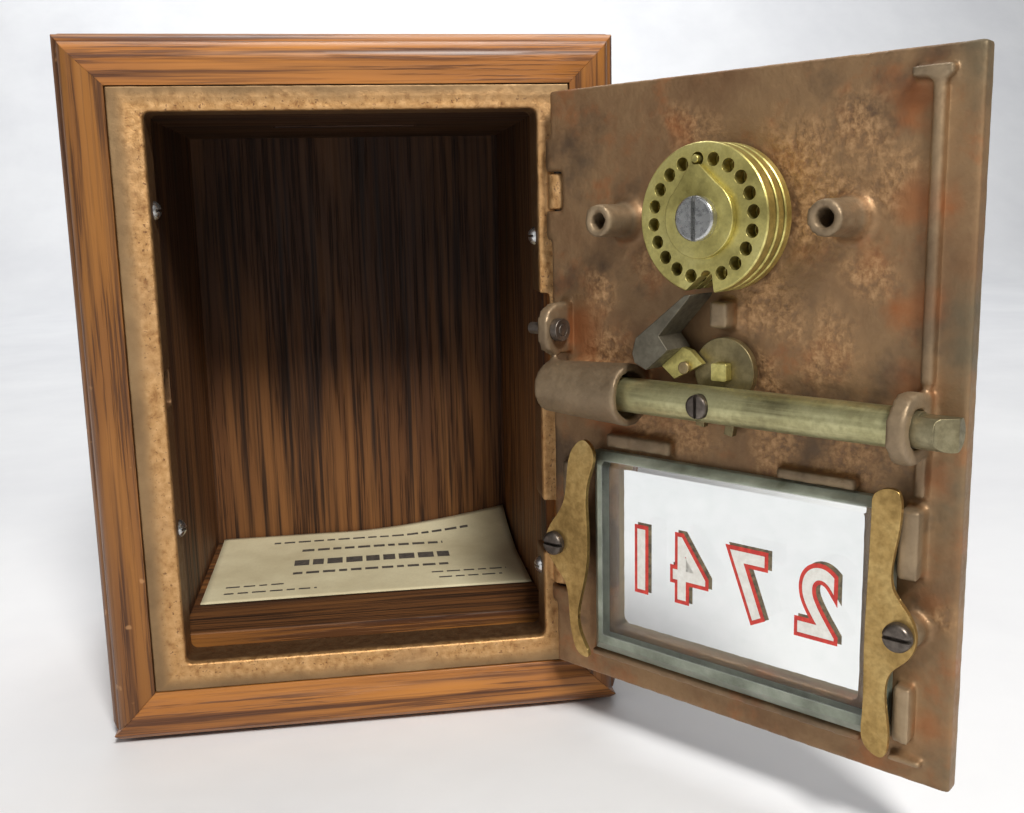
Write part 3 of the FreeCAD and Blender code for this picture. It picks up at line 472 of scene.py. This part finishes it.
def made_real(obj):
    """A mesh of what the object shows, with its modifiers or its curve worked out."""
    bpy.context.view_layer.update()
    return bpy.data.meshes.new_from_object(obj.evaluated_get(bpy.context.evaluated_depsgraph_get()))


def smooth(mesh):
    mesh.polygons.foreach_set("use_smooth", [True] * len(mesh.polygons))


# ---- finer copies of the CAD nodes --------------------------------------------------------------
def apply_modifiers(obj):
    mesh = made_real(obj)
    obj.modifiers.clear()
    obj.data = mesh


def cad_copy(node):
    """A joined-up copy of a node's mesh, with its flat faces whole again."""
    mesh = frame["nodes"][node].data.copy()
    shape = bmesh.new()
    shape.from_mesh(mesh)
    bmesh.ops.remove_doubles(shape, verts=shape.verts, dist=1e-6)
    bmesh.ops.dissolve_limit(shape, angle_limit=math.radians(0.4), verts=shape.verts, edges=shape.edges)
    bmesh.ops.recalc_face_normals(shape, faces=shape.faces)
    shape.to_mesh(mesh)
    shape.free()
    return new_object(node + "_finished", mesh)


def dress(obj, node, material):
    obj.data.materials.clear()
    obj.data.materials.append(material)
    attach(obj, frame["nodes"][node]["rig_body"])
    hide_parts(node)


def eased(node, width):
    """A copy whose corners are rounded by `width` mm, as on a real edge."""
    obj = cad_copy(node)
    bevel = obj.modifiers.new("edges", "BEVEL")
    bevel.width = width * MM
    bevel.segments = 2
    bevel.limit_method = "ANGLE"
    bevel.angle_limit = math.radians(32)
    bevel.miter_outer = "MITER_ARC"
    weighted = obj.modifiers.new("normals", "WEIGHTED_NORMAL")
    weighted.keep_sharp = True
    smooth(obj.data)
    obj.data.set_sharp_from_angle(angle=math.radians(50))
    apply_modifiers(obj)
    return obj


def cast(node, voxel, ripple, seed):
    """A copy with the soft corners and slight ripple of a sand casting. Sizes in mm."""
    obj = cad_copy(node)
    skin = obj.modifiers.new("skin", "REMESH")
    skin.mode = "VOXEL"
    skin.voxel_size = voxel * MM
    skin.use_smooth_shade = True
    soften = obj.modifiers.new("soften", "SMOOTH")
    soften.factor = 0.5
    soften.iterations = 2
    apply_modifiers(obj)
    normals = [v.normal.copy() for v in obj.data.vertices]
    for vertex, normal in zip(obj.data.vertices, normals):
        spot = vertex.co / (2.4 * MM) + Vector((seed, seed, seed))
        vertex.co += normal * (noise.noise(spot) * ripple * MM)
    return obj


def clear_bore(obj, start, end, radius):
    """Move a casting's vertices out to `radius` mm around the bolt's path, from u = start to end."""
    low = door_point(start, BOLT_H, BOLT_Z)
    for vertex in obj.data.vertices:
        along = (vertex.co - low).dot(DOOR_OUT)
        foot = low + DOOR_OUT * along
        away = vertex.co - foot
        if 0 < along < (end - start) * MM and 0 < away.length < radius * MM:
            vertex.co = foot + away.normalized() * (radius * MM)


# Voxel size and ripple in mm, then the ripple's seed.
CASTINGS = {"door_casting": (0.6, 0.06, 3.0), "door_frame": (0.45, 0.07, 9.0)}
SOFT_PIECES = {"number_transfer", "paper_card", "bolt_spring"}
EDGE_WIDTH = {"oak": 0.35, "oak_moulding": 0.25, "glass": 0.12}
PLAIN_EDGE_WIDTH = 0.15

for node in sorted(frame["nodes"]):
    if node in SOFT_PIECES:
        continue
    slot = SLOT_OF[node]
    material = MATERIALS.get(node) or MATERIALS[slot]
    if node in CASTINGS:
        casting = cast(node, *CASTINGS[node])
        if node == "door_casting":
            clear_bore(casting, *SLEEVE_BORE)
            clear_bore(casting, *COLLAR_BORE)
        dress(casting, node, material)
    else:
        dress(eased(node, EDGE_WIDTH.get(slot, PLAIN_EDGE_WIDTH)), node, material)


# ---- pieces made here ---------------------------------------------------------------------------
def mesh_object(name, verts, faces, material, body):
    mesh = bpy.data.meshes.new(name)
    mesh.from_pydata([tuple(v) for v in verts], [], faces)
    mesh.update()
    obj = new_object(name, mesh)
    mesh.materials.append(material)
    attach(obj, body)
    return obj


def curve_solid(name, curve, material, place):
    """A mesh object made from a curve that stands at `place`."""
    obj = new_object(name, curve)
    obj.matrix_world = place
    mesh = made_real(obj)
    mesh.transform(obj.matrix_world)
    bpy.data.objects.remove(obj)
    solid = new_object(name, mesh)
    mesh.materials.clear()
    mesh.materials.append(material)
    return solid


CARD_THICK, INK_LIFT = 0.28, 0.03                  # mm


def card_height(s, t):
    """Rise of the card at s across and t deep: bowed, with its far right corner curled."""
    bow = 0.5 * math.sin(math.pi * s) * (0.3 + 0.7 * t)
    curl = 15.0 * max(0.0, s + t - 1.45) ** 1.6
    left = 1.2 * max(0.0, t - s - 0.55) ** 1.4
    return (0.15 + bow + curl + left) * MM


def card():
    low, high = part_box("paper_card")
    steps_x, steps_y = 48, 32
    verts, faces = [], []
    for layer in (0, 1):
        for j in range(steps_y + 1):
            for i in range(steps_x + 1):
                s, t = i / steps_x, j / steps_y
                x = low.x + (high.x - low.x) * s
                y = low.y + (high.y - low.y) * t
                verts.append((x, y, low.z + card_height(s, t) + layer * CARD_THICK * MM))
    row, layer_size = steps_x + 1, (steps_x + 1) * (steps_y + 1)
    for j in range(steps_y):
        for i in range(steps_x):
            a = j * row + i
            top = [a, a + 1, a + row + 1, a + row]
            faces.append([k + layer_size for k in top])
            faces.append(top[::-1])
    rim = list(range(row)) + [j * row + steps_x for j in range(1, steps_y + 1)]
    rim += [steps_y * row + i for i in range(steps_x - 1, -1, -1)]
    rim += [j * row for j in range(steps_y - 1, 0, -1)]
    for a, b in zip(rim, rim[1:] + rim[:1]):
        faces.append([a, b, b + layer_size, a + layer_size])
    obj = mesh_object("card_printed", verts, faces, paper(), "case")
    smooth(obj.data)
    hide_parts("paper_card")
    return low, high


# Rows of print: where each starts and ends across the card, how far back it lies, and its weight.
CARD_LINES = [
    (0.18, 0.86, 0.86, 0.7), (0.28, 0.76, 0.70, 1.0), (0.26, 0.78, 0.50, 2.4), (0.26, 0.76, 0.34, 0.9),
    (0.06, 0.24, 0.20, 0.5), (0.06, 0.34, 0.11, 0.5), (0.70, 0.94, 0.22, 0.5), (0.72, 0.92, 0.14, 0.5),
]
# As shares of the card: a word's shortest length, what that varies by and what a heavy row adds to it, the
# gap after a word, and half the height of a row of weight 1.
WORD_SHORT, WORD_VARIES, WORD_HEAVY, WORD_GAP, ROW_HALF = 0.022, 0.020, 0.012, 0.012, 0.018


def card_print(low, high):
    """Greeked print: short dashes in rows, with no letters."""
    verts, faces = [], []
    lift = (CARD_THICK + INK_LIFT) * MM
    for index, (start, end, depth, weight) in enumerate(CARD_LINES):
        s, word = start, 0
        while s < end:
            varied = WORD_VARIES * abs(math.sin(index * 5.1 + word * 2.3))
            length = WORD_SHORT + varied + WORD_HEAVY * (weight > 1)
            stop = min(s + length, end)
            half = weight * ROW_HALF
            base = len(verts)
            for a, b in ((s, depth - half), (stop, depth - half), (stop, depth + half), (s, depth + half)):
                x = low.x + (high.x - low.x) * a
                y = low.y + (high.y - low.y) * b
                verts.append((x, y, low.z + card_height(a, b) + lift))
            faces.append([base, base + 1, base + 2, base + 3])
            s, word = stop + WORD_GAP, word + 1
    ink = plain_paint("ink", (0.05, 0.045, 0.04), (0.13, 0.11, 0.09), 0.7)
    mesh_object("card_print", verts, faces, ink, "case")


def tube(name, centres, radius, material, body):
    """A round wire through a list of points."""
    curve = bpy.data.curves.new(name, "CURVE")
    curve.dimensions = "3D"
    curve.bevel_depth = radius
    curve.bevel_resolution = 3
    curve.use_fill_caps = True
    spline = curve.splines.new("POLY")
    spline.points.add(len(centres) - 1)
    for point, centre in zip(spline.points, centres):
        point.co = (*centre, 1)
    solid = curve_solid(name, curve, material, Matrix())
    smooth(solid.data)
    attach(solid, body)
    return solid


def spring():
    low, high, radius, wire, turns, steps = 7.8, 20.3, 2.6, 0.4, 7, 24
    centres = []
    for k in range(turns * steps + 1):
        angle = 2 * math.pi * k / steps
        u = low + (high - low) * k / (turns * steps)
        h, z = BOLT_H + radius * math.cos(angle), BOLT_Z + radius * math.sin(angle)
        centres.append(door_point(u, h, z))
    coil = tube("return_spring", centres, wire * MM, MATERIALS["steel_dark"], "door")
    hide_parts("bolt_spring")


DIGITS = ((63.6, "2"), (50.2, "7"), (37.2, "4"), (26.2, "1"))    # u of each, and its figure
DIGIT_Z, DIGIT_SIZE, DIGIT_THICK, DIGIT_SQUEEZE = 31.2, 17.4, 0.03, 0.86
FILL_H, OUTLINE_H, SHADE_H = 4.44, 4.36, 4.30
FILL_SPREAD, OUTLINE_SPREAD, SHADE_SHIFT = 0.25, 1.05, (-0.75, 0.5)


def digit(text, name, u, h, offset, material, shift=(0.0, 0.0)):
    """One figure on the back of the glass, reading rightly from the door's front. Sizes in mm."""
    curve = bpy.data.curves.new(name, "FONT")
    curve.body = text
    curve.size = DIGIT_SIZE * MM
    curve.offset = offset * MM
    curve.extrude = DIGIT_THICK * MM / 2
    curve.align_x = "CENTER"
    curve.align_y = "CENTER"
    middle = Matrix.Translation(door_point(u - shift[0], h, DIGIT_Z + shift[1]))
    turn = Matrix((-DOOR_OUT, UP, -DOOR_IN)).transposed().to_4x4()
    squeeze = Matrix.Diagonal((DIGIT_SQUEEZE, 1.0, 1.0, 1.0))
    solid = curve_solid(name, curve, material, middle @ turn @ squeeze)
    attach(solid, "door")
    return solid


def window_numbers():
    white = plain_paint("number_white", (0.74, 0.72, 0.66), (0.86, 0.85, 0.80), 0.35)
    red = plain_paint("number_red", (0.50, 0.025, 0.02), (0.72, 0.06, 0.035), 0.35)
    shade = plain_paint("number_shade", (0.07, 0.055, 0.035), (0.26, 0.20, 0.11), 0.4)
    for index, (u, text) in enumerate(DIGITS):
        fill = digit(text, f"number_{index}_fill", u, FILL_H, FILL_SPREAD, white)
        digit(text, f"number_{index}_red", u, OUTLINE_H, OUTLINE_SPREAD, red)
        digit(text, f"number_{index}_shade", u, SHADE_H, OUTLINE_SPREAD, shade, shift=SHADE_SHIFT)
        if index == 0:
            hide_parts("number_transfer")


# How many ticks, then in mm where they start and end, half their width, and their lift off the ring.
# Every fifth one is longer and wider.
TICKS, TICK_INNER, TICK_OUTER, TICK_HALF, TICK_LIFT = 20, 16.6, 19.8, 0.28, 0.04
FIFTH_LONGER, FIFTH_HALF = 1.4, 0.42


def dial_marks():
    """The ticks on the dial ring of the door's front."""
    verts, faces = [], []
    ink = plain_paint("dial_mark", (0.62, 0.50, 0.30), (0.80, 0.70, 0.48), 0.4)
    front = -DOOR_THICK - RING_PROUD - TICK_LIFT
    for k in range(TICKS):
        angle = 2 * math.pi * k / TICKS
        start = TICK_INNER if k % 5 else TICK_INNER - FIFTH_LONGER
        half = TICK_HALF if k % 5 else FIFTH_HALF
        base = len(verts)
        for r, w in ((start, -half), (TICK_OUTER, -half), (TICK_OUTER, half), (start, half)):
            u = DIAL_U - r * math.sin(angle) - w * math.cos(angle)
            z = DIAL_Z + r * math.cos(angle) - w * math.sin(angle)
            verts.append(door_point(u, front, z))
        faces.append([base, base + 1, base + 2, base + 3])
    mesh_object("dial_ticks", verts, faces, ink, "door")


low, high = card()
card_print(low, high)
spring()
window_numbers()
dial_marks()


# ---- studio -------------------------------------------------------------------------------------
def floor():
    """A pale cloth that runs back and sweeps up, a little uneven."""
    verts, faces = [], []
    columns, rows = 60, 60
    for j in range(rows + 1):
        for i in range(columns + 1):
            x = -2.2 + 4.4 * i / columns
            along = -1.2 + 3.4 * j / rows
            bend = max(0.0, along - 1.1)
            z = -0.0004 + 0.75 * bend ** 1.6
            verts.append((x, along - 0.3 * bend, z))
    for j in range(rows):
        for i in range(columns):
            a = j * (columns + 1) + i
            faces.append([a, a + 1, a + columns + 2, a + columns + 1])
    mesh = bpy.data.meshes.new("studio_floor")
    mesh.from_pydata(verts, [], faces)
    smooth(mesh)
    obj = new_object("studio_floor", mesh)
    paint = Paint("studio_cloth", Roughness=0.9)
    at = paint.place()
    cloud = paint.noise(at, 7, detail=5)
    paint.set("Base Color", paint.ramp(cloud, (0.3, (0.78, 0.79, 0.82)), (0.7, (0.88, 0.89, 0.91))))
    paint.bump((cloud, 4 * MM, 0.5), (paint.noise(at, 1500, 2), 0.05 * MM, 0.3))
    mesh.materials.append(paint.material)


def lamp(name, place, aim, size, power, colour=(1, 1, 1)):
    light = bpy.data.lights.new(name, "AREA")
    light.shape = "DISK"
    light.size = size
    light.energy = power
    light.color = colour
    obj = new_object(name, light)
    obj.location = place
    obj.rotation_euler = (Vector(aim) - Vector(place)).to_track_quat("-Z", "Y").to_euler()


def studio():
    world = bpy.data.worlds.new("studio")
    world.use_nodes = True
    background = world.node_tree.nodes["Background"]
    background.inputs["Color"].default_value = (0.95, 0.97, 1.0, 1)
    background.inputs["Strength"].default_value = 0.14
    bpy.context.scene.world = world
    middle = (0.02, FACE_Y, FRAME_MID_Z)
    lamp("key", (0.14, FACE_Y - 0.74, 0.80), middle, 0.24, 11.0, (1.0, 0.97, 0.92))
    lamp("fill", (-0.75, FACE_Y - 0.45, 0.45), middle, 0.6, 0.9)
    lamp("sweep", (0.1, 1.15, 1.5), (0.1, 2.0, 0.3), 1.2, 17.0)
    lamp("floor", (0.1, 0.5, 1.2), (0.05, 0.30, 0.0), 0.8, 4.0)
    bpy.context.scene.view_settings.view_transform = "Standard"


# The camera stands in front of the case and a little above its middle, turned 8 degrees to the right.
CAMERA_RIGHT = Vector((0.989088, -0.145643, -0.022191))
CAMERA_DOWN = Vector((-0.047328, -0.171476, -0.984051))
CAMERA_FROM_FACE = Vector((0.272, -226.545, 99.670)) * MM     # from the foot of the frame, centre line
CAMERA_LENS = 37.96


def camera():
    data = bpy.data.cameras.new("camera")
    data.lens = CAMERA_LENS
    data.sensor_width = 36
    data.clip_start = 0.01
    obj = new_object("camera", data)
    forward = CAMERA_RIGHT.cross(CAMERA_DOWN)
    turn = Matrix((CAMERA_RIGHT, -CAMERA_DOWN, -forward)).transposed().to_4x4()
    place = Vector((0, FACE_Y, FRAME_LOW.z)) + CAMERA_FROM_FACE
    obj.matrix_world = Matrix.Translation(place) @ turn
    bpy.context.scene.camera = obj


floor()
studio()
camera()
